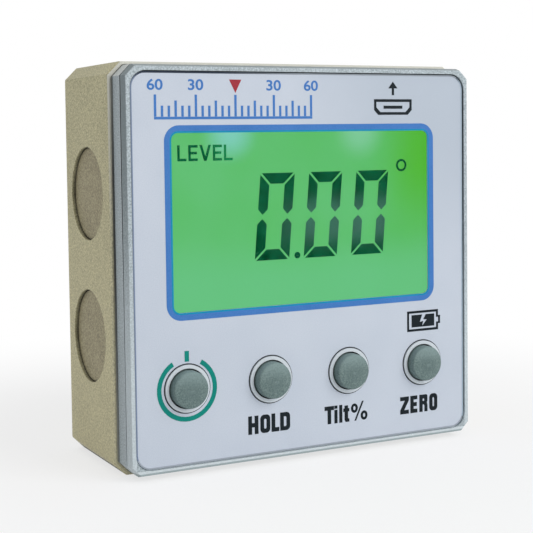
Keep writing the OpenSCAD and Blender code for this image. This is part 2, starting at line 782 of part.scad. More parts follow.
// Charger chip under the charging socket
module charger_chip() {
    color("#26282b") chip(charger_place, [charger_w, charger_h], charger_t);
}

// Ceramic capacitors beside the chips
module chip_capacitors() {
    row_last = 5;
    color("#b8a07a") for (k = [0:row_last])
        chip([processor_x + (k - row_last / 2) * capacitor_pitch, capacitor_z],
            [capacitor_w, capacitor_h], capacitor_t);
}

// A disc magnet in its pocket on one face
module magnet(side, s) {
    color("#968c78") face_disc(side, s * magnet_pitch / 2, magnet_d, magnet_sink, magnet_t);
}

rear_housing();
front_bezel();
case_seal();
case_screws();
front_label();
display_window();
lcd_panel();
backlight_guide();
backlight_lamps();
display_holder();
contact_strip();
main_board();
board_screws();
button_cap(0);  // power_button
button_cap(1);  // hold_button
button_cap(2);  // tilt_button
button_cap(3);  // zero_button
switch_plunger(0);  // power_plunger
switch_plunger(1);  // hold_plunger
switch_plunger(2);  // tilt_plunger
switch_plunger(3);  // zero_plunger
switch_case(0);  // power_switch
switch_case(1);  // hold_switch
switch_case(2);  // tilt_switch
switch_case(3);  // zero_switch
switch_feet();
charging_socket();
socket_tongue();
battery_cell();
battery_tape();
battery_header();
battery_plug();
color("#b3231f") battery_lead(1);  // positive_lead
color("#17181a") battery_lead(-1);  // negative_lead
processor_chip();
tilt_sensor();
charger_chip();
chip_capacitors();
magnet("left", 1);  // left_upper_magnet
magnet("left", -1);  // left_lower_magnet
magnet("right", 1);  // right_upper_magnet
magnet("right", -1);  // right_lower_magnet
magnet("base", -1);  // base_left_magnet
magnet("base", 1);  // base_right_magnet
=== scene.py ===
"""Looks of the digital angle gauge: its finishes, print and display, the stage and the camera."""
import json
import math

import bmesh
import bpy
from mathutils import Matrix, Vector


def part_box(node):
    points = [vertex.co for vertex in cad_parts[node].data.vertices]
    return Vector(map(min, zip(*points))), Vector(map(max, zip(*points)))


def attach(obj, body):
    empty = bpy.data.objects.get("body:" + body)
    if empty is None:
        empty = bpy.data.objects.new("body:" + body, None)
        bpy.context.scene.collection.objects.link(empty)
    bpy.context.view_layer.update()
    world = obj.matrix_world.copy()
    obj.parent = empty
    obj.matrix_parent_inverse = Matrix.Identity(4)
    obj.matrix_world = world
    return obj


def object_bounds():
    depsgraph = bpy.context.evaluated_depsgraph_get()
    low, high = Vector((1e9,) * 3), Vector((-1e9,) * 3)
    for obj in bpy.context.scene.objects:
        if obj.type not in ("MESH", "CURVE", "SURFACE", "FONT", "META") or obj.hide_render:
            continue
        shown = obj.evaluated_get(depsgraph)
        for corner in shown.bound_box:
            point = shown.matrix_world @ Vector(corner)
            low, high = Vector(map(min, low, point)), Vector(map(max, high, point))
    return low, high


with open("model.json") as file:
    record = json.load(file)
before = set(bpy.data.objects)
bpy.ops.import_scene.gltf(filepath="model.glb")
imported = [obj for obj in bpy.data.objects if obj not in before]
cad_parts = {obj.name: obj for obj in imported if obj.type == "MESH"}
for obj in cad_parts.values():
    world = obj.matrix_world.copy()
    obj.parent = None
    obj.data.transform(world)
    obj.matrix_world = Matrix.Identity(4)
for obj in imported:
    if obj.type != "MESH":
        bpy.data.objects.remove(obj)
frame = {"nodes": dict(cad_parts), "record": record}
cad_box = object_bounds()
nodes = frame["nodes"]

# Metres in a millimetre; lengths below are in millimetres, except for those of the stage
MM = 0.001
# Places of the coordinates in a point
X, Y, Z = range(3)
# Thickness of a layer of print
INK = 0.02
# Points along a quarter turn of an outline
QUARTER_STEPS = 10
# The buttons, from the left
KEYS = ("power", "hold", "tilt", "zero")
# Depth of the bezel from its rim to the seal, and the cut of its corners
BEZEL_D = 4.2
CORNER_CUT = 1.5
# Half the width of a backlight lamp
LAMP_HALF = 1.5
# Height of the middle of the reading on the display
READING_MIDDLE = 34.2
# Metres: further than any point lies from a button
FAR = 1.0


def box_mm(node):
    """The low and the high corner of a node's box, in millimetres."""
    return [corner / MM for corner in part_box(node)]


def middle_mm(node):
    """The middle of a node's box, in millimetres."""
    low, high = box_mm(node)
    return (low + high) / 2


key_z = middle_mm("power_button").z


# Colours and node graphs

# A step with soft ends between two values
SOFT = "SMOOTHSTEP"
# Sockets of a mix node that mixes colours
MIX_SHARE, MIX_FIRST, MIX_SECOND, MIX_RESULT = 0, 6, 7, 2
# Parts of the noise's range that carry the tones and the gloss
TONE_RANGE = (0.32, 0.68)
GLOSS_RANGE = (0.3, 0.7)


def srgb(red, green, blue):
    """Linear colour with alpha, from screen values of 0 to 255."""
    linear = []
    for value in (red, green, blue):
        share = value / 255
        linear.append(share / 12.92 if share <= 0.04045 else ((share + 0.055) / 1.055) ** 2.4)
    return (*linear, 1.0)


class Graph:
    """The node tree of a material or a world, with short calls for the nodes that the looks share."""

    def __init__(self, owner, surface):
        owner.use_nodes = True
        self.owner = owner
        self.tree = owner.node_tree
        self.surface = self.tree.nodes[surface]

    def node(self, kind, **settings):
        made = self.tree.nodes.new(kind)
        for key, value in settings.items():
            setattr(made, key, value)
        return made

    def feed(self, socket, value):
        """Links an output to a socket, or sets a plain value on it."""
        if isinstance(value, bpy.types.NodeSocket):
            self.tree.links.new(value, socket)
        else:
            socket.default_value = value

    def set(self, name, value):
        """Feeds a socket of the surface's shader."""
        self.feed(self.surface.inputs[name], value)

    def painted(self, tone):
        """The material, with a tone as its base colour."""
        self.set("Base Color", tone)
        return self.owner

    def place(self):
        """The point on the surface, in the frame's own metres."""
        return self.node("ShaderNodeTexCoord").outputs["Object"]

    def axis(self, index):
        """One coordinate of the point on the surface."""
        split = self.node("ShaderNodeSeparateXYZ")
        self.feed(split.inputs[0], self.place())
        return split.outputs[index]

    def off(self, index, middle):
        """How far the point lies from a place on an axis, in metres."""
        return self.math("ABSOLUTE", self.math("SUBTRACT", self.axis(index), middle * MM), 0.0)

    def away(self, point):
        """How far the point on the surface lies from another point, in metres."""
        made = self.node("ShaderNodeVectorMath", operation="DISTANCE")
        self.feed(made.inputs[0], self.place())
        made.inputs[1].default_value = [value * MM for value in point]
        return made.outputs["Value"]

    def noise(self, size, detail=3.0, stretch=(1, 1, 1)):
        """Noise from 0 to 1 whose spots are about size millimetres across."""
        mapping = self.node("ShaderNodeMapping")
        mapping.inputs["Scale"].default_value = [s / (size * MM) for s in stretch]
        self.feed(mapping.inputs["Vector"], self.place())
        made = self.node("ShaderNodeTexNoise")
        made.inputs["Scale"].default_value = 1.0
        made.inputs["Detail"].default_value = detail
        self.feed(made.inputs["Vector"], mapping.outputs["Vector"])
        return made.outputs[0]

    def math(self, operation, a, b):
        made = self.node("ShaderNodeMath", operation=operation)
        self.feed(made.inputs[0], a)
        self.feed(made.inputs[1], b)
        return made.outputs[0]

    def times(self, share, *others):
        """The product of several shares."""
        for other in others:
            share = self.math("MULTIPLY", share, other)
        return share

    def spread(self, value, old, new=(0.0, 1.0), kind="LINEAR"):
        """Maps a value from one range to another."""
        made = self.node("ShaderNodeMapRange", interpolation_type=kind)
        self.feed(made.inputs["Value"], value)
        for name, number in zip(("From Min", "From Max", "To Min", "To Max"), (*old, *new)):
            made.inputs[name].default_value = number
        return made.outputs["Result"]

    def between(self, length, start, end, shares=(0.0, 1.0), kind="LINEAR"):
        """A share that changes while a length goes from start to end."""
        return self.spread(length, (start * MM, end * MM), shares, kind)

    def along(self, index, start, end, shares=(0.0, 1.0), kind="LINEAR"):
        """A share that changes between two places on an axis."""
        return self.between(self.axis(index), start, end, shares, kind)

    def mix(self, share, first, second):
        """A colour between two colours."""
        made = self.node("ShaderNodeMix", data_type="RGBA")
        self.feed(made.inputs[MIX_SHARE], share)
        self.feed(made.inputs[MIX_FIRST], first)
        self.feed(made.inputs[MIX_SECOND], second)
        return made.outputs[MIX_RESULT]

    def tint(self, tone, share, colour):
        """A tone that goes over into a colour."""
        return self.mix(share, tone, srgb(*colour))

    def painted_crevice_shade(self, tone, reach, depth, where, open_range=(0.35, 0.85)):
        """Painted shade: a tone that sinks to a share of itself in corners and gaps, where a mask is 1."""
        open_share = self.node("ShaderNodeAmbientOcclusion", samples=8)
        open_share.inputs["Distance"].default_value = reach * MM
        closed = self.spread(open_share.outputs["AO"], open_range, (1.0, 0.0))
        dark = self.node("ShaderNodeMix", data_type="RGBA", blend_type="MULTIPLY")
        self.feed(dark.inputs[MIX_SHARE], self.times(closed, where))
        self.feed(dark.inputs[MIX_FIRST], tone)
        dark.inputs[MIX_SECOND].default_value = (depth, depth, depth, 1.0)
        return dark.outputs[MIX_RESULT]

    def relief(self, height, depth):
        """Bumps the surface by a height of 0 to 1 over depth millimetres."""
        bump = self.node("ShaderNodeBump")
        bump.inputs["Distance"].default_value = depth * MM
        self.feed(bump.inputs["Height"], height)
        self.set("Normal", bump.outputs["Normal"])


def material_graph(name):
    return Graph(bpy.data.materials.new(name), "Principled BSDF")


def finish_graph(name, dark, light, grain, rough, metallic=0.0, depth=0.0, blotch=4.0, stretch=(1, 1, 1),
                 coat=0.0, specular=0.5, patchy=0.3):
    """A surface whose tone, gloss and relief follow a fine grain over broad soft blotches, and its tone.

    grain and blotch are the sizes of the spots, patchy is the blotches' share of the tone, and rough is
    the range of the roughness.
    """
    graph = material_graph(name)
    fine = graph.noise(grain, stretch=stretch)
    broad = graph.noise(blotch, detail=2.0)
    grains = graph.math("ADD", graph.times(fine, 1 - patchy), graph.times(broad, patchy))
    tone = graph.mix(graph.spread(grains, TONE_RANGE), srgb(*dark), srgb(*light))
    graph.set("Base Color", tone)
    graph.set("Roughness", graph.spread(fine, GLOSS_RANGE, rough))
    graph.set("Metallic", metallic)
    graph.set("Coat Weight", coat)
    graph.set("Specular IOR Level", specular)
    if depth:
        graph.relief(fine, depth)
    return graph, tone


# Finishes, one for each material slot of the record

def gold_housing():
    """Sand-blasted champagne metal, with painted light from below making it paler towards the foot, a painted
    highlight along the cut edge at its mouth, strongest towards the top, and painted shade in its recesses.
    """
    low, high = box_mm("rear_housing")
    mouth = low.y
    graph, tone = finish_graph("gold_housing", (138, 133, 102), (216, 210, 170), 0.24, (0.45, 0.65),
                               metallic=0.25, depth=0.04, blotch=9.0, specular=0.3, patchy=0.1)
    # Painted light from below: the tone goes paler towards the foot
    tone = graph.tint(tone, graph.along(Z, low.z, high.z, (0.24, 0.0)), (222, 212, 174))
    # Painted highlight along the cut edge at the mouth, strongest towards the top
    edge = graph.along(Y, mouth + 0.15, mouth + 0.25, (1.0, 0.0))
    head = graph.along(Z, high.z - 25, high.z - 5, (0.2, 1.0))
    tone = graph.tint(tone, graph.times(edge, head), (204, 204, 194))
    # Painted shade in corners and gaps more than a millimetre behind the mouth
    shaded_recesses = graph.along(Y, mouth + 1.0, mouth + 1.6)
    return graph.painted(graph.painted_crevice_shade(tone, reach=0.9, depth=0.06, where=shaded_recesses, open_range=(0.58, 0.97)))


def silver_bezel():
    """Satin silver paint with fine flakes.

    It is paler on the collars, with a painted highlight on the upper corners and painted light from below
    on the lower rim, and it has painted shade on the upper bevel, along the lowest edge and in gaps.
    """
    low, high = box_mm("front_label")
    centre, reach = (low + high) / 2, (high.x - low.x) / 2
    graph, tone = finish_graph("silver_bezel", (136, 147, 151), (192, 203, 208), 0.22, (0.36, 0.52),
                               metallic=0.15, depth=0.02, blotch=5.0, specular=0.2, patchy=0.1)
    inside = graph.between(graph.off(X, 0.0), high.x - 2, high.x - 1, (1.0, 0.0))
    key_row = graph.between(graph.off(Z, key_z), 4, 5, (1.0, 0.0))
    tone = graph.tint(tone, graph.times(inside, key_row), (212, 219, 225))
    # Painted light from below: the rim is paler under the label
    foot = graph.along(Z, low.z - 0.1, low.z, (0.5, 0.0))
    tone = graph.tint(tone, foot, (226, 232, 234))

    # Painted highlight on the cut upper corners
    across = graph.off(X, centre.x)
    corner = box_mm("front_bezel")[1] - centre
    cut = corner.x + corner.z - CORNER_CUT
    diagonal = graph.math("ADD", across, graph.math("SUBTRACT", graph.axis(Z), centre.z * MM))
    tone = graph.tint(tone, graph.between(diagonal, cut - 0.15, cut, (0.0, 0.55)), (222, 226, 222))

    rim = box_mm("case_seal")[0].y - BEZEL_D
    front = graph.along(Y, rim + 1.5, rim + 1.6, (1.0, 0.0))
    frame_side = graph.math("MAXIMUM", across, graph.off(Z, centre.z))
    outside = graph.times(front, graph.between(frame_side, reach + 0.03, reach + 0.08))
    # Painted shade on the bevel round the rim, deepest towards the head
    bevel = graph.times(outside, graph.along(Y, rim + 0.05, rim + 0.15), graph.along(Z, 22, 45, (0.0, 0.85)))
    tone = graph.tint(tone, bevel, (122, 133, 136))
    # Painted light from below on the rim and bevel towards the foot
    lower = graph.times(outside, graph.along(Z, 14, 34, (0.6, 0.0)))
    tone = graph.tint(tone, lower, (206, 216, 220))
    # Painted shadow along the lowest edge, where the bezel stands just off the floor
    lowest_edge_shadow = graph.along(Z, low.z - 0.48, low.z - 0.38, (0.85, 0.0))
    tone = graph.tint(tone, lowest_edge_shadow, (142, 156, 158))
    # Painted shade in gaps above the foot, less where the painted light from below is
    shaded_gaps = graph.times(graph.along(Z, low.z + 1, low.z + 3), graph.math("SUBTRACT", 1.0, lower))
    return graph.painted(graph.painted_crevice_shade(tone, reach=0.4, depth=0.3, where=shaded_gaps))


def label_film():
    """Pale film with a faint matte tooth, with painted shade deepening its tone towards its upper right."""
    graph, tone = finish_graph("label_film", (190, 199, 212), (203, 210, 221), 0.15, (0.45, 0.6),
                               depth=0.004, blotch=9.0, specular=0.3)
    # Painted shade towards the upper right
    shaded_upper_right = graph.times(graph.along(X, -3, 13), graph.along(Z, 25, 45, (0.0, 0.9)))
    return graph.painted(graph.tint(tone, shaded_upper_right, (180, 190, 202)))


def clear_window():
    """Clear plastic with a trace of haze."""
    graph = material_graph("clear_window")
    graph.set("Roughness", graph.spread(graph.noise(6.0), GLOSS_RANGE, (0.02, 0.07)))
    graph.set("Transmission Weight", 1.0)
    graph.set("IOR", 1.08)
    return graph.painted(srgb(247, 252, 249))


def lcd_glass():
    """Backlit display glass: green, yellower to the right, paler under the two lamps of the light guide."""
    low, high = box_mm("lcd_panel")
    lamp_low, lamp_high = box_mm("backlight_lamps")
    graph = material_graph("lcd_glass")
    clouds = graph.spread(graph.noise(11.0, detail=1.0), (0.35, 0.65))
    colour = graph.mix(clouds, srgb(92, 188, 104), srgb(99, 191, 117))
    lower = graph.along(Z, low.z + 6, low.z + 14, (0.8, 0.0), SOFT)
    colour = graph.tint(colour, lower, (106, 195, 134))
    right = graph.along(X, 10, high.x - 2, (0.0, 0.95), SOFT)
    upper = graph.along(Z, low.z + 8, high.z - 6, (0.05, 1.0), SOFT)
    colour = graph.tint(colour, graph.times(right, upper), (82, 182, 50))
    left_pale, right_pale = (130, 206, 192), (130, 202, 158)
    for x, pale in ((lamp_low.x + LAMP_HALF, left_pale), (lamp_high.x - LAMP_HALF, right_pale)):
        glow = graph.between(graph.away((x, low.y, lamp_low.z)), 0.4, 5, (0.9, 0.0), SOFT)
        colour = graph.tint(colour, glow, pale)
    graph.set("Emission Color", colour)
    graph.set("Emission Strength", 1.0)
    graph.set("Specular IOR Level", 0.05)
    graph.set("Roughness", 0.4)
    return graph.painted(srgb(6, 16, 8))


def button_grey():
    """Satin grey-green moulding with a fine texture, darker in the middle of each cap, and paler above from
    painted light.
    """
    graph, tone = finish_graph("button_grey", (78, 99, 97), (120, 139, 137), 0.2, (0.5, 0.66),
                               metallic=0.15, depth=0.02, blotch=4.0, patchy=0.15)
    nearest = FAR
    for key in KEYS:
        low, high = box_mm(key + "_button")
        face = ((low.x + high.x) / 2, low.y, (low.z + high.z) / 2)
        nearest = graph.math("MINIMUM", graph.away(face), nearest)
    tone = graph.tint(tone, graph.between(nearest, 0.4, 2.2, (0.35, 0.0), SOFT), (76, 97, 97))
    # Painted light: the caps are paler towards their heads
    upper = graph.along(Z, key_z + 0.2, key_z + 2.2, (0.0, 0.5))
    return graph.painted(graph.tint(tone, upper, (130, 152, 152)))


def magnet_face():
    """Matte plated disc in a warm grey, with painted shade at the wall of its recess."""
    graph, tone = finish_graph("magnet_face", (106, 98, 70), (184, 175, 141), 0.24, (0.48, 0.64),
                               metallic=0.3, depth=0.04, blotch=5.0, patchy=0.12)
    # Painted shade at the wall of the recess
    return graph.painted(graph.painted_crevice_shade(tone, reach=0.7, depth=0.12, where=1.0, open_range=(0.4, 0.9)))


def seal_rubber():
    """Dark rubber, greyed towards the foot and the head by painted light."""
    graph, tone = finish_graph("seal_rubber", (40, 42, 41), (66, 68, 66), 0.3, (0.55, 0.7), depth=0.01)
    # Painted light greys the seal towards the foot and the head
    foot = graph.along(Z, 8, 28, (0.6, 0.0))
    head = graph.along(Z, 42, 52, (0.0, 0.4))
    return graph.painted(graph.tint(tone, graph.math("ADD", foot, head), (150, 152, 146)))


def plain(dark, light, grain, rough, **more):
    """Settings of a finish that needs no more than its grain, as finish_graph takes them."""
    return {"dark": dark, "light": light, "grain": grain, "rough": rough, **more}


def ink(dark, light):
    """Settings of a printing ink."""
    return plain(dark, light, 0.14, (0.45, 0.6), specular=0.15)


def print_black():
    """Near-black ink. In the painted shadow line along the label's edge it goes to greys: darkest under the
    upper rim on the left, paler on the sides, on the right and at the foot.
    """
    low, high = box_mm("front_label")
    middle, reach = (low + high) / 2, (high - low) / 2
    graph, tone = finish_graph("print_black", **ink((6, 14, 20), (22, 34, 40)))
    # Painted shadow along the label's edge: darker where the rim shades it, paler towards the right, on the
    # sides and at the foot
    right = graph.along(X, middle.x - 0.5 * reach.x, middle.x)
    head = graph.along(Z, high.z - 0.5, high.z - 0.4)
    tone = graph.mix(head, tone, graph.mix(right, srgb(52, 62, 78), srgb(150, 158, 166)))
    sides = graph.between(graph.off(X, middle.x), reach.x - 1.3, reach.x - 0.3)
    tone = graph.mix(sides, tone, graph.mix(right, srgb(124, 138, 162), srgb(168, 186, 200)))
    foot = graph.along(Z, low.z + 1.4, low.z + 1.5, (1.0, 0.0))
    return graph.painted(graph.tint(tone, foot, (160, 168, 178)))


def lcd_segment():
    """Dark liquid-crystal segments, with some backlight at the word's end and a painted reflection across the
    middle.
    """
    high = box_mm("lcd_panel")[1]
    graph, tone = finish_graph("lcd_segment", (0, 64, 36), (14, 90, 60), 1.2, (0.4, 0.5), blotch=5.0,
                               specular=0.0)
    top = graph.along(Z, high.z - 9, high.z - 7)
    left = graph.along(X, -9, -8, (1.0, 0.0))
    word_end = graph.along(X, -16, -13, (0.1, 0.6))
    tone = graph.tint(tone, graph.times(top, left, word_end), (40, 150, 90))
    # Painted reflection: a paler grey-green band across the middle of the reading, growing to the right
    painted_reflection_band = graph.between(graph.off(Z, READING_MIDDLE), 1, 5, (1.0, 0.0), SOFT)
    right = graph.along(X, -7, 1, (0.0, 0.6))
    return graph.painted(graph.tint(tone, graph.times(painted_reflection_band, right), (76, 116, 106)))


SHAPED_FINISHES = (gold_housing, silver_bezel, label_film, clear_window, lcd_glass, button_grey, magnet_face,
                   seal_rubber, print_black, lcd_segment)
PLAIN_FINISHES = {
    "light_guide": plain((224, 240, 228), (240, 250, 242), 0.5, (0.1, 0.2), depth=0.003),
    "lamp_yellow": plain((236, 222, 150), (250, 240, 190), 0.4, (0.3, 0.45), depth=0.01),
    "white_plastic": plain((224, 224, 218), (242, 242, 236), 0.3, (0.4, 0.55), depth=0.01),
    # Silicone with fine dark conducting layers across it
    "contact_rubber": plain((150, 96, 106), (226, 178, 184), 0.2, (0.5, 0.65), stretch=(1, 0.1, 0.1)),
    # Green solder mask over glass weave
    "board_laminate": plain((26, 84, 48), (52, 122, 74), 0.35, (0.25, 0.4), depth=0.01, coat=0.3),
    "black_plastic": plain((22, 22, 24), (42, 42, 45), 0.2, (0.35, 0.5), depth=0.01),
    "socket_steel": plain((158, 162, 166), (200, 203, 206), 0.25, (0.22, 0.36), metallic=0.9, depth=0.004,
                          stretch=(1, 1, 0.15)),
    "screw_steel": plain((112, 115, 120), (170, 172, 176), 0.2, (0.25, 0.42), metallic=0.9, depth=0.006),
    "cell_foil": plain((140, 146, 154), (186, 191, 198), 0.8, (0.2, 0.35), metallic=0.8, depth=0.02),
    "foam_tape": plain((214, 210, 198), (240, 237, 228), 0.25, (0.8, 0.95), depth=0.04),
    "lead_red": plain((150, 26, 22), (196, 44, 38), 0.4, (0.4, 0.55), depth=0.006),
    "lead_black": plain((16, 16, 18), (38, 38, 41), 0.4, (0.4, 0.55), depth=0.006),
    "solder_tin": plain((176, 172, 156), (218, 214, 198), 0.2, (0.2, 0.35), metallic=0.9, depth=0.006),
    "chip_black": plain((30, 31, 34), (50, 52, 56), 0.15, (0.45, 0.6), depth=0.008),
    "sensor_brass": plain((168, 136, 62), (206, 174, 92), 0.3, (0.2, 0.34), metallic=0.9, depth=0.004),
    "capacitor_tan": plain((166, 142, 104), (196, 172, 134), 0.2, (0.4, 0.55), depth=0.006),
    "print_blue": ink((58, 114, 182), (76, 128, 196)),
    "print_cyan": ink((0, 126, 174), (20, 148, 188)),
    "print_teal": ink((0, 124, 113), (14, 142, 129)),
    "print_red": ink((146, 40, 52), (172, 58, 68)),
}
materials = {make.__name__: make() for make in SHAPED_FINISHES}
for slot_name, settings in PLAIN_FINISHES.items():
    materials[slot_name] = finish_graph(slot_name, **settings)[0].owner

for part in frame["record"]["subparts"]:
    carried = nodes[part["node"]]
    carried.data.materials.clear()
    carried.data.materials.append(materials[part["material_slot"]])


# Small rounding of sharp edges: vertices closer than WELD are one, and edges over the angle are rounded
WELD = 0.001
SOFT_ANGLE = 28
SOFT_STEPS = 2


def soften(node, width):
    """Rounds a node's sharp edges a little, so that they catch the light."""
    weld = nodes[node].modifiers.new("weld", "WELD")
    weld.merge_threshold = WELD * MM
    bevel = nodes[node].modifiers.new("bevel", "BEVEL")
    bevel.width = width * MM
    bevel.segments = SOFT_STEPS
    bevel.limit_method = "ANGLE"
    bevel.angle_limit = math.radians(SOFT_ANGLE)
    bevel.harden_normals = True


# Flat outlines in x and z

def arc(x, z, radius, start, end):
    """Points along an arc, with its angles in degrees from the right."""
    steps = max(2, round(QUARTER_STEPS * abs(end - start) / 90))
    angles = [math.radians(start + (end - start) * i / steps) for i in range(steps + 1)]
    return [(x + radius * math.cos(a), z + radius * math.sin(a)) for a in angles]


def circle(x, z, radius):
    return arc(x, z, radius, 0, 360)[:-1]


def rectangle(x0, z0, x1, z1):
    return [(x0, z0), (x1, z0), (x1, z1), (x0, z1)]


def rounded(x0, z0, x1, z1, radius):
    """A rectangle with round corners."""
    centres = ((x1 - radius, z1 - radius), (x0 + radius, z1 - radius),
               (x0 + radius, z0 + radius), (x1 - radius, z0 + radius))
    return [p for i, (x, z) in enumerate(centres) for p in arc(x, z, radius, 90 * i, 90 * i + 90)]


def grown(box, by):
    return (box[0] - by, box[1] - by, box[2] + by, box[3] + by)


# Points of an outline that lie closer than this become one
SAME_POINT = 1e-5


def thin_piece(name, curve, y_front, slot, across=(1.0, 0.0), up=(1.0, 0.0)):
    """A flat filled curve becomes a thin closed mesh on a face that looks to -Y.

    y_front is that face, in metres. across and up are the factor and the shift, in millimetres, from
    the curve's x and y.
    """
    curve.dimensions = "2D"
    curve.fill_mode = "BOTH"
    # One unit thick here, and as thick as INK once it is in place
    curve.extrude = 0.5
    maker = bpy.data.objects.new(name + "_outline", curve)
    bpy.context.scene.collection.objects.link(maker)
    graph = bpy.context.evaluated_depsgraph_get()
    mesh = bpy.data.meshes.new_from_object(maker.evaluated_get(graph))
    bpy.data.objects.remove(maker)
    bpy.data.curves.remove(curve)
    mesh.name = name
    work = bmesh.new()
    work.from_mesh(mesh)
    bmesh.ops.remove_doubles(work, verts=work.verts, dist=SAME_POINT)
    bmesh.ops.recalc_face_normals(work, faces=work.faces)
    work.to_mesh(mesh)
    work.free()
    mesh.transform(Matrix((
        (across[0] * MM, 0, 0, across[1] * MM),
        (0, 0, -INK * MM, y_front - INK * MM / 2),
        (0, up[0] * MM, 0, up[1] * MM),
        (0, 0, 0, 1),
    )))
    piece = bpy.data.objects.new(name, mesh)
    bpy.context.scene.collection.objects.link(piece)
    mesh.materials.clear()
    mesh.materials.append(materials[slot])
    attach(piece, "case")


def printed(name, loops, y_front, slot):
    """Closed outlines filled with print; an outline inside another is left open."""
    curve = bpy.data.curves.new(name, "CURVE")
    for loop in loops:
        spline = curve.splines.new("POLY")
        spline.points.add(len(loop) - 1)
        for point, (x, z) in zip(spline.points, loop):
            point.co = (x, z, 0, 1)
        spline.use_cyclic_u = True
    thin_piece(name, curve, y_front, slot)


def figures(name, text, box, y_front, slot, weight):
    """Plain figures in Blender's own type, stretched to fill a box of x0, z0, x1, z1."""
    curve = bpy.data.curves.new(name, "FONT")
    curve.body = text
    curve.offset = weight
    probe = bpy.data.objects.new(name + "_probe", curve)
    bpy.context.scene.collection.objects.link(probe)
    bpy.context.view_layer.update()
    corners = [Vector(c) for c in probe.bound_box]
    bpy.data.objects.remove(probe)
    x0, x1 = min(c.x for c in corners), max(c.x for c in corners)
    y0, y1 = min(c.y for c in corners), max(c.y for c in corners)
    wide = (box[2] - box[0]) / (x1 - x0)
    tall = (box[3] - box[1]) / (y1 - y0)
    thin_piece(name, curve, y_front, slot, (wide, box[0] - wide * x0), (tall, box[1] - tall * y0))


# Print on the label

# The label's front face, in metres
label_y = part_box("front_label")[0].y
key_x = {key: middle_mm(key + "_button").x for key in KEYS}

# The window's flange behind the label, the printed frame round its opening, and its lit inner edge
FLANGE = 2.2
FRAME_W = 1.05
EDGE_W = 0.24
OPENING_R = 1.0
FRAME_R = 2.2
# The label's corner radius, and the width of the painted shadow line along its edge
LABEL_R = 2.15
EDGE_SHADOW_W = 0.2


def front_box(node):
    """A node's box seen from the front, as x0, z0, x1, z1."""
    low, high = box_mm(node)
    return (low.x, low.z, high.x, high.z)


def display_frame():
    """The blue frame round the display, with the lit edge of the window inside it."""
    opening = grown(front_box("display_window"), -FLANGE)
    edge = rounded(*grown(opening, EDGE_W), OPENING_R + EDGE_W)
    printed("display_frame", [rounded(*grown(opening, FRAME_W), FRAME_R), edge], label_y, "print_blue")
    printed("display_edge", [edge, rounded(*opening, OPENING_R)], label_y, "print_cyan")


def label_edge_shadow():
    """A fine painted shadow line along the label's edge, in the gap to the rim."""
    edge = front_box("front_label")
    inner = rounded(*grown(edge, -EDGE_SHADOW_W), LABEL_R - EDGE_SHADOW_W)
    printed("label_edge_shadow", [rounded(*edge, LABEL_R), inner], label_y, "print_black")


def collar_shadow_lines():
    """A fine painted shadow line on the label round each collar, in the gap to it."""
    hole_r, line_w = 3.4, 0.08
    loops = [circle(x, key_z, r) for x in key_x.values() for r in (hole_r + line_w, hole_r)]
    printed("collar_shadow_lines", loops, label_y, "print_black")


def power_sign():
    """An open ring and a tick round the power button."""
    outer, stroke, gap_half, drop = 4.5, 0.66, 30.0, 0.08
    tick_w, tick_low, tick_high = 0.66, 3.8, 5.28
    x, z = key_x["power"], key_z - drop
    start, end = 90 + gap_half, 450 - gap_half
    ring = arc(x, z, outer, start, end) + arc(x, z, outer - stroke, end, start)
    tick = rectangle(x - tick_w / 2, z + tick_low, x + tick_w / 2, z + tick_high)
    printed("power_sign", [ring, tick], label_y, "print_teal")


# Bold condensed letters: their outlines, from their width, their height and their bars

# Corner radius inside a round letter, as a share of its bar
INNER_TURN = 0.3


def letter_h(wide, tall, bar):
    low, high = (tall - bar) / 2, (tall + bar) / 2
    right = wide - bar
    return [[(0, 0), (bar, 0), (bar, low), (right, low), (right, 0), (wide, 0), (wide, tall), (right, tall),
             (right, high), (bar, high), (bar, tall), (0, tall)]]


def letter_o(wide, tall, bar):
    return [rounded(0, 0, wide, tall, bar), rounded(bar, bar, wide - bar, tall - bar, INNER_TURN * bar)]


def letter_l(wide, tall, bar):
    return [[(0, 0), (wide, 0), (wide, bar), (bar, bar), (bar, tall), (0, tall)]]


def letter_d(wide, tall, bar):
    def half_round(inset, radius):
        x, low, high = wide - inset - radius, inset + radius, tall - inset - radius
        bow = arc(x, low, radius, -90, 0) + arc(x, high, radius, 0, 90)
        return [(inset, inset), *bow, (inset, tall - inset)]

    return [half_round(0, bar), half_round(bar, INNER_TURN * bar)]


def letter_z(wide, tall, bar):
    cut = 1.2 * bar
    return [[(0, 0), (wide, 0), (wide, bar), (cut, bar), (wide, tall - bar), (wide, tall), (0, tall),
             (0, tall - bar), (wide - cut, tall - bar), (0, bar)]]


def letter_e(wide, tall, bar):
    low, high, short = (tall - bar) / 2, (tall + bar) / 2, 0.92 * wide
    return [[(0, 0), (wide, 0), (wide, bar), (bar, bar), (bar, low), (short, low), (short, high),
             (bar, high), (bar, tall - bar), (wide, tall - bar), (wide, tall), (0, tall)]]


def letter_r(wide, tall, bar):
    waist, turn, notch = 0.42 * tall, 0.5 * bar, 0.14 * bar
    hip, knee = waist + 0.4 * bar, wide - 0.95 * bar
    leg = [(bar, waist), (knee - notch, waist), (knee, 0.8 * waist), (knee, 0), (wide, 0),
           (wide, 0.85 * waist), (wide - notch, hip)]
    bow = arc(wide - turn, hip + turn, turn, -45, 0) + arc(wide - turn, tall - turn, turn, 0, 90)
    outline = [(0, 0), (bar, 0), *leg, *bow, (0, tall)]
    return [outline, rounded(bar, waist + 0.85 * bar, wide - bar, tall - bar, 0.25 * bar)]


def letter_t(wide, tall, bar):
    left, right = (wide - bar) / 2, (wide + bar) / 2
    return [[(left, 0), (right, 0), (right, tall - bar), (wide, tall - bar), (wide, tall), (0, tall),
             (0, tall - bar), (left, tall - bar)]]


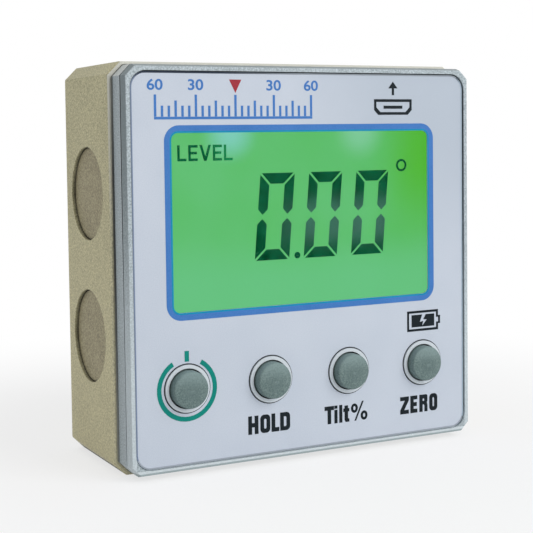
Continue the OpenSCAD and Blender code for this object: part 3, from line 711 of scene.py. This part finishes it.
def letter_v(wide, tall, bar):
    middle, point = wide / 2, 0.55 * bar
    inner = tall - tall * (middle - 2 * point) / (middle - point)
    return [[(middle - point, 0), (middle + point, 0), (wide, tall), (wide - 2 * point, tall),
             (middle, inner), (2 * point, tall), (0, tall)]]


def small_i(wide, tall, _bar):
    stem, dot = 0.76 * tall, 0.82 * tall
    return [rectangle(0, 0, wide, stem), rectangle(0, dot, wide, tall)]


def small_l(wide, tall, _bar):
    return [rectangle(0, 0, wide, tall)]


def small_t(wide, tall, bar):
    """A short stem with a crossbar, and a foot that turns to the right."""
    left, right = 0.2 * wide, 0.2 * wide + bar
    low, high, top = 0.58 * tall, 0.77 * tall, 0.93 * tall
    foot = [(left + 0.3 * bar, 0), (wide, 0), (wide, 0.17 * tall), (right, 0.2 * tall)]
    return [[*foot, (right, low), (wide, low), (wide, high), (right, high), (right, top), (left, top),
             (left, high), (0, high), (0, low), (left, low), (left, 0.12 * tall)]]


def percent(wide, tall, bar):
    """Two small rings beside a thin slash that stands a little taller than the letters."""
    ring_x, ring_z, stroke, slash = 0.208 * wide, 0.265 * tall, 0.66 * bar, 0.5 * bar

    def oval(x, z, inset):
        return [(x + (ring_x - inset) * px, z + (ring_z - inset) * pz) for px, pz in circle(0, 0, 1)]

    upper, lower = (ring_x, 0.72 * tall), (wide - ring_x, 0.26 * tall)
    rings = [oval(*place, inset) for place in (upper, lower) for inset in (0, stroke)]
    foot, head, top = 0.2 * wide, 0.67 * wide, 1.08 * tall
    return rings + [[(foot, 0), (foot + slash, 0), (head + slash, top), (head, top)]]


def lettering(name, letters, left, low, tall, bar, y_front, slot):
    """A row of letters, each given as its outline, its width and the space after it."""
    loops = []
    for letter, wide, space in letters:
        loops += [[(left + x, low + z) for x, z in loop] for loop in letter(wide, tall, bar)]
        left += wide + space
    printed(name, loops, y_front, slot)


def button_words():
    """Plain function words under the other three buttons."""
    low, tall, bar = 4.5, 2.62, 0.6
    hold = ((letter_h, 1.61, 0.3), (letter_o, 1.58, 0.21), (letter_l, 1.24, 0.15), (letter_d, 1.61, 0))
    tilt = ((letter_t, 1.6, 0.05), (small_i, 0.53, 0.29), (small_l, 0.53, 0.17), (small_t, 1.02, 0.28),
            (percent, 2.85, 0))
    zero = ((letter_z, 1.55, 0.27), (letter_e, 1.27, 0.36), (letter_r, 1.48, 0.33), (letter_o, 1.48, 0))
    for key, letters, shift in (("hold", hold, -3.65), ("tilt", tilt, -4.15), ("zero", zero, -3.95)):
        lettering(key + "_word", letters, key_x[key] + shift, low, tall, bar, label_y, "print_black")


def battery_sign():
    """A battery outline, and its charge with a bolt cut down from the top."""
    left, low, right, high = 16.74, 16.88, 22.35, 19.98
    stroke = 0.36
    nub, nub_half, nub_inner = 0.38, 0.62, 0.36
    middle = (low + high) / 2

    def shell(inset, half):
        x0, z0, x1, z1 = left + inset, low + inset, right - inset, high - inset
        tip = x1 + nub
        return [(x0, z0), (x1, z0), (x1, middle - half), (tip, middle - half), (tip, middle + half),
                (x1, middle + half), (x1, z1), (x0, z1)]

    fill_left, fill_low, fill_right, fill_high = left + 0.8, low + 0.63, right - 0.7, high - 0.62
    x, z = (fill_left + fill_right) / 2, (fill_low + fill_high) / 2
    cut_left, cut_right = x - 0.13, x + 0.52
    bolt = ((-0.57, -0.18), (0.06, -0.08), (-0.17, -0.8), (0.69, 0.12), (0.05, 0.17))
    cut = [(cut_left, fill_high), *((x + dx, z + dz) for dx, dz in bolt), (cut_right, fill_high)]
    fill = [(fill_left, fill_high), *cut, (fill_right, fill_high), (fill_right, fill_low),
            (fill_left, fill_low)]
    printed("battery_sign", [shell(0, nub_half), shell(stroke, nub_inner), fill], label_y, "print_black")


def scale_print():
    """A plain blue graduation with a red pointer over its middle."""
    first, last, count = -23.4, 0.6, 25
    base, stroke, lift = 49.35, 0.36, 0.02
    heights = {0: 3.0, 3: 2.2}
    short, group = 1.5, 6
    number_low, number_high, number_half, number_weight = 52.95, 54.45, 1.15, 0.02
    pointer_half, pointer_gap = 0.95, 0.25
    middle, pitch = (first + last) / 2, (last - first) / (count - 1)
    ticks = [rectangle(first - stroke / 2, base - stroke, last + stroke / 2, base)]
    for i in range(count):
        x = first + i * pitch
        tall = heights.get(i % group, short)
        ticks.append(rectangle(x - stroke / 2, base + lift, x + stroke / 2, base + tall))
    printed("scale_ticks", ticks, label_y, "print_blue")
    for i, text in ((0, "60"), (1, "30"), (3, "30"), (4, "60")):
        x = first + i * group * pitch
        figures(f"scale_number_{i}", text, (x - number_half, number_low, x + number_half, number_high),
                label_y, "print_blue", number_weight)
    pointer = [(middle, base + heights[0] + pointer_gap), (middle + pointer_half, number_high),
               (middle - pointer_half, number_high)]
    printed("scale_pointer", [pointer], label_y, "print_red")


def port_print():
    """A plain outline of the charging port, and an arrow to it in the top face."""
    x = middle_mm("charging_socket").x
    base, tall, half, lean, stroke = 49.5, 2.3, 3.3, 0.7, 0.4
    bar_below, bar_above = 0.25, 0.2
    shaft, barb, tail_z, neck_z, tip_z = 0.2, 0.8, 52.4, 53.4, 54.4
    middle = base + tall / 2

    def outline(inset):
        left, right = x - half + inset, x + half - inset
        low, waist, high = base + inset, base + lean + inset, base + tall - inset
        return [(left + lean, low), (right - lean, low), (right, waist), (right, high), (left, high),
                (left, waist)]

    bar = rectangle(x - half / 2, middle - bar_below, x + half / 2, middle + bar_above)
    arrow = [(x - shaft, tail_z), (x + shaft, tail_z), (x + shaft, neck_z), (x + barb, neck_z), (x, tip_z),
             (x - barb, neck_z), (x - shaft, neck_z)]
    printed("port_sign", [outline(0), outline(stroke), bar, arrow], label_y, "print_black")


# Segments on the display glass

# The glass's front face, in metres
lcd_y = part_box("lcd_panel")[0].y


def digit(left, base, wide, tall, stroke, gap, lean):
    """The six lit segments of a seven-segment zero, with mitred and pointed ends."""
    mitre, middle, point = gap * 0.7, tall / 2, stroke / 2
    top = [(mitre, tall), (wide - mitre, tall), (wide - stroke - mitre, tall - stroke),
           (stroke + mitre, tall - stroke)]
    upper = [(0, tall - mitre), (stroke, tall - stroke - mitre), (stroke, middle + gap + point),
             (point, middle + gap), (0, middle + gap + point)]

    def mirrored(loop, across, upright):
        return [(wide - x if across else x, tall - z if upright else z) for x, z in loop]

    loops = [top, mirrored(top, False, True)]
    loops += [mirrored(upper, across, upright) for across in (False, True) for upright in (False, True)]
    slope = math.tan(math.radians(lean))
    return [[(left + x + z * slope, base + z) for x, z in loop] for loop in loops]


def lcd_print():
    """Reading, degree ring and level word on the display."""
    base, tall, wide, stroke, gap, lean = 29.0, 12.35, 5.5, 1.52, 0.3, 5.0
    digit_lefts = (-8.4, -0.53, 7.4)
    dot_x, dot_rise, dot_r = -1.55, 0.46, 0.48
    ring_x, ring_z, ring_r, ring_inner_r = 16.3, 42.0, 0.92, 0.6
    loops = []
    for left in digit_lefts:
        loops += digit(left, base, wide, tall, stroke, gap, lean)
    loops.append(circle(dot_x, base + dot_rise, dot_r))
    loops += [circle(ring_x, ring_z, ring_r), circle(ring_x, ring_z, ring_inner_r)]
    printed("display_reading", loops, lcd_y, "lcd_segment")
    level = ((letter_l, 1.35, 0.29), (letter_e, 1.4, 0.27), (letter_v, 1.75, 0.27), (letter_e, 1.4, 0.29),
             (letter_l, 1.35, 0))
    level_left, level_low, level_tall, level_bar = -20.0, 43.28, 2.2, 0.36
    lettering("level_word", level, level_left, level_low, level_tall, level_bar, lcd_y, "lcd_segment")


display_frame()
label_edge_shadow()
collar_shadow_lines()
power_sign()
button_words()
battery_sign()
scale_print()
port_print()
lcd_print()
soften("rear_housing", width=0.1)
soften("front_bezel", width=0.06)


# Stage: pale floor, white surroundings and soft lamps, in metres and watts

# Share of the surroundings' light that falls on the object
AMBIENT = 0.5
FLOOR_R = 0.6
FLOOR_SIDES = 96
FLOOR_TONE = (240, 241, 243)
# How far the floor lies under the object
FLOOR_GAP = 0.00002
# Distance from the middle over which the floor goes over into white, and its share of white there
FADE_REACH = (0.04, 0.12)
FADE_SHARES = (0.7, 1.0)
# Place, size and power of the lamps
KEY_LAMP = ((0.34, -0.54, 0.40), 0.5, 3.15)
TOP_LAMP = ((-0.10, 0.15, 0.65), 0.5, 0.2)


def seen_directly(graph):
    """1 for rays from the camera, and for mirrored and transmitted ones; 0 for light that falls on things."""
    path = graph.node("ShaderNodeLightPath").outputs
    plainly = graph.math("MAXIMUM", path["Is Camera Ray"], path["Is Glossy Ray"])
    return graph.math("MAXIMUM", plainly, path["Is Transmission Ray"])


def pale_floor():
    """A wide pale disc that keeps the object's shadow and fades into the white surroundings."""
    mesh = bpy.data.meshes.new("floor")
    work = bmesh.new()
    bmesh.ops.create_circle(work, cap_ends=True, radius=FLOOR_R, segments=FLOOR_SIDES)
    work.to_mesh(mesh)
    work.free()
    floor = bpy.data.objects.new("floor", mesh)
    floor.location.z = cad_box[0].z - FLOOR_GAP
    bpy.context.scene.collection.objects.link(floor)
    graph = material_graph("floor")
    graph.set("Roughness", 0.9)
    white = graph.node("ShaderNodeEmission")
    white.inputs["Strength"].default_value = 1.0
    fade = graph.spread(graph.away((0, 0, 0)), FADE_REACH, FADE_SHARES, SOFT)
    blend = graph.node("ShaderNodeMixShader")
    graph.feed(blend.inputs[0], graph.times(fade, seen_directly(graph)))
    graph.feed(blend.inputs[1], graph.surface.outputs[0])
    graph.feed(blend.inputs[2], white.outputs[0])
    graph.feed(graph.tree.nodes["Material Output"].inputs["Surface"], blend.outputs[0])
    mesh.materials.append(graph.painted(srgb(*FLOOR_TONE)))


def white_world():
    """White surroundings, of whose light only a share falls on the object."""
    world = bpy.data.worlds.new("studio")
    bpy.context.scene.world = world
    graph = Graph(world, "Background")
    graph.set("Color", (1, 1, 1, 1))
    graph.set("Strength", graph.spread(seen_directly(graph), (0.0, 1.0), (AMBIENT, 1.0)))


def soft_lamp(name, place, size, power):
    """A square soft box that looks at the middle of the object."""
    data = bpy.data.lights.new(name, "AREA")
    data.size = size
    data.energy = power
    lamp = bpy.data.objects.new(name, data)
    lamp.location = place
    aim = (cad_box[0] + cad_box[1]) / 2 - Vector(place)
    lamp.rotation_euler = aim.to_track_quat("-Z", "Y").to_euler()
    bpy.context.scene.collection.objects.link(lamp)


# Camera of the photograph: its place in millimetres, its turns in degrees, and its frame in pixels
CAMERA_PLACE = (-86.77, -166.47, 46.52)
CAMERA_YAW = 27.18
CAMERA_PITCH = -3.01
CAMERA_ROLL = 0.72
PHOTO_SIZE = 533
FOCAL_PX = 1244.87
AXIS_ROW_PX = 202
# Width of the camera's sensor in millimetres, and the nearest distance that it sees in metres
SENSOR = 36
NEAREST = 0.01


def photo_camera():
    """The camera at the photograph's place, with its axis at the photograph's row."""
    data = bpy.data.cameras.new("camera")
    data.sensor_width = SENSOR
    data.lens = FOCAL_PX * SENSOR / PHOTO_SIZE
    data.shift_y = (AXIS_ROW_PX - PHOTO_SIZE / 2) / PHOTO_SIZE
    data.clip_start = NEAREST
    yaw, pitch, roll = (math.radians(a) for a in (CAMERA_YAW, CAMERA_PITCH, CAMERA_ROLL))
    ahead = Vector((math.sin(yaw) * math.cos(pitch), math.cos(yaw) * math.cos(pitch), math.sin(pitch)))
    level = Vector((math.cos(yaw), -math.sin(yaw), 0))
    down = ahead.cross(level)
    right = math.cos(roll) * level + math.sin(roll) * down
    up = math.sin(roll) * level - math.cos(roll) * down
    turn = Matrix((right, up, -ahead)).transposed().to_4x4()
    camera = bpy.data.objects.new("camera", data)
    camera.matrix_world = Matrix.Translation(Vector(CAMERA_PLACE) * MM) @ turn
    bpy.context.scene.collection.objects.link(camera)
    bpy.context.scene.camera = camera


pale_floor()
white_world()
soft_lamp("key_lamp", *KEY_LAMP)
soft_lamp("top_lamp", *TOP_LAMP)
photo_camera()
bpy.context.scene.view_settings.view_transform = "Standard"
